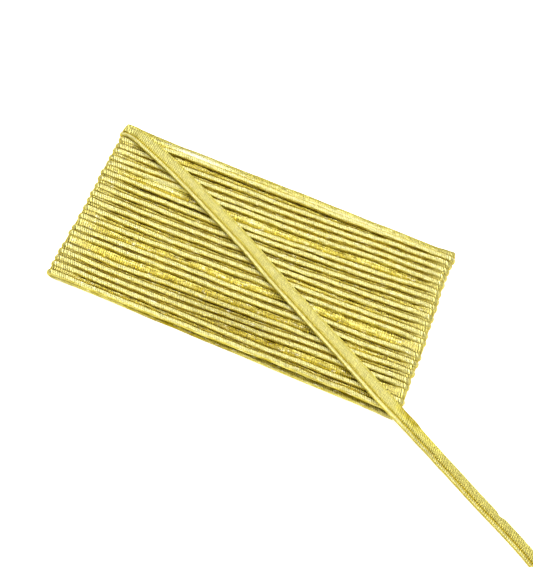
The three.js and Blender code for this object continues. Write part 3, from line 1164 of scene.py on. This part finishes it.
class TRIM_OT_camera(bpy.types.Operator):
    """Places the camera above the bundle"""

    bl_idname = "trim.camera"
    bl_label = "Camera"

    def execute(self, context):
        tilt = math.radians(CAMERA_TILT)
        spin = math.radians(CAMERA_SPIN)
        right = Vector((math.cos(spin), math.sin(spin), 0))
        up = Vector((-math.sin(spin) * math.cos(tilt), math.cos(spin) * math.cos(tilt), math.sin(tilt)))
        back = right.cross(up)
        data = bpy.data.cameras.new("camera")
        data.sensor_width = SENSOR_WIDTH
        data.lens = FOCAL_PIXELS * SENSOR_WIDTH / IMAGE_LONG_SIDE
        data.clip_start = NEAREST_SEEN
        data.clip_end = FARTHEST_SEEN
        camera = bpy.data.objects.new("camera", data)
        place = Matrix((right, up, back)).transposed().to_4x4()
        place.translation = Vector(CAMERA_AIM) + back * CAMERA_DISTANCE
        camera.matrix_world = place
        context.collection.objects.link(camera)
        context.scene.camera = camera
        return {"FINISHED"}


class TRIM_OT_loose_end(bpy.types.Operator):
    """Builds the loose end, from where it leaves the winding to its bare end"""

    bl_idname = "trim.loose_end"
    bl_label = "Loose End"

    def execute(self, context):
        sizes = context.scene.trim_sizes
        rings, leave = loose_course(sizes.loose_step / MM)
        rings = rings[leave:]
        materials = [loose_ribbon(context.scene.trim_colours)]
        piece = tube("loose_end_trim", [(rings, loose_section, loose_tone)], materials, sizes)
        face_outwards(piece)
        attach(piece, "root")
        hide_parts("loose_end")
        return {"FINISHED"}


class TRIM_OT_winding(bpy.types.Operator):
    """Builds the trim that is wound round and round into the bundle"""

    bl_idname = "trim.winding"
    bl_label = "Winding"

    def execute(self, context):
        sizes = context.scene.trim_sizes
        loose, leave = loose_course(sizes.loose_step / MM)
        islands = [
            (winding_rings(sizes), wrap_section, wrap_tone),
            (loose[: leave + 1], loose_section, loose_tone),
        ]
        colours = context.scene.trim_colours
        piece = tube("winding_trim", islands, [wound_ribbon(colours), loose_ribbon(colours)], sizes)
        face_outwards(piece)
        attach(piece, "root")
        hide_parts("winding")
        return {"FINISHED"}


class TRIM_OT_stage(bpy.types.Operator):
    """Sets out the pale floor and the soft studio light"""

    bl_idname = "trim.stage"
    bl_label = "Stage"

    def execute(self, context):
        light = context.scene.studio_light
        mesh = bpy.data.meshes.new("floor")
        signs = ((-1, -1), (1, -1), (1, 1), (-1, 1))
        corners = [(x * FLOOR_HALF, y * FLOOR_HALF, FLOOR_LEVEL) for x, y in signs]
        mesh.from_pydata(corners, [], [(0, 1, 2, 3)])
        floor = bpy.data.objects.new("floor", mesh)
        context.collection.objects.link(floor)
        mesh.materials.append(studio_floor(context.scene.trim_colours))
        self.lamp(context, "key_light", *KEY_LIGHT, light.key)
        self.lamp(context, "near_light", *NEAR_LIGHT, light.near)
        world = bpy.data.worlds.new("studio")
        world.use_nodes = True
        tree = world.node_tree
        sky = tree.nodes["Background"]
        sky.inputs["Color"].default_value = (1, 1, 1, 1)
        place = tree.nodes.new("ShaderNodeTexCoord")
        height = vector_parts(tree, place.outputs["Generated"])["Z"]
        strength = ramp_between(tree, height, 0.0, 0.8, light.horizon, light.sky)
        tree.links.new(strength, sky.inputs["Strength"])
        context.scene.world = world
        context.scene.view_settings.view_transform = "Standard"
        return {"FINISHED"}

    def lamp(self, context, name, place, size, power):
        data = bpy.data.lights.new(name, "AREA")
        data.size = size
        data.energy = power
        lamp = bpy.data.objects.new(name, data)
        lamp.location = place
        lamp.rotation_mode = "QUATERNION"
        lamp.rotation_quaternion = Vector(place).to_track_quat("Z", "Y")
        context.collection.objects.link(lamp)


class TRIM_PT_panel(bpy.types.Panel):
    """Lists the trim's pieces and their settings"""

    bl_idname = "TRIM_PT_panel"
    bl_label = "Piping Cord Trim"
    bl_space_type = "VIEW_3D"
    bl_region_type = "UI"
    bl_category = "Trim"

    def draw(self, context):
        layout = self.layout
        for group in (context.scene.trim_sizes, context.scene.trim_colours, context.scene.studio_light):
            box = layout.box()
            for label in group.bl_rna.properties.keys():
                if label not in ("rna_type", "name"):
                    box.prop(group, label)
        for operator in OPERATORS:
            layout.operator(operator.bl_idname)


OPERATORS = (TRIM_OT_camera, TRIM_OT_loose_end, TRIM_OT_winding, TRIM_OT_stage)
CLASSES = (TrimSizes, TrimColours, StudioLight, *OPERATORS, TRIM_PT_panel)


def register():
    for part in CLASSES:
        bpy.utils.register_class(part)
    bpy.types.Scene.trim_sizes = PointerProperty(type=TrimSizes)
    bpy.types.Scene.trim_colours = PointerProperty(type=TrimColours)
    bpy.types.Scene.studio_light = PointerProperty(type=StudioLight)


def unregister():
    del bpy.types.Scene.studio_light
    del bpy.types.Scene.trim_colours
    del bpy.types.Scene.trim_sizes
    for part in reversed(CLASSES):
        bpy.utils.unregister_class(part)


def main():
    register()
    bpy.ops.trim.camera()
    bpy.ops.trim.loose_end()
    bpy.ops.trim.winding()
    bpy.ops.trim.stage()


if __name__ == "__main__":
    main()
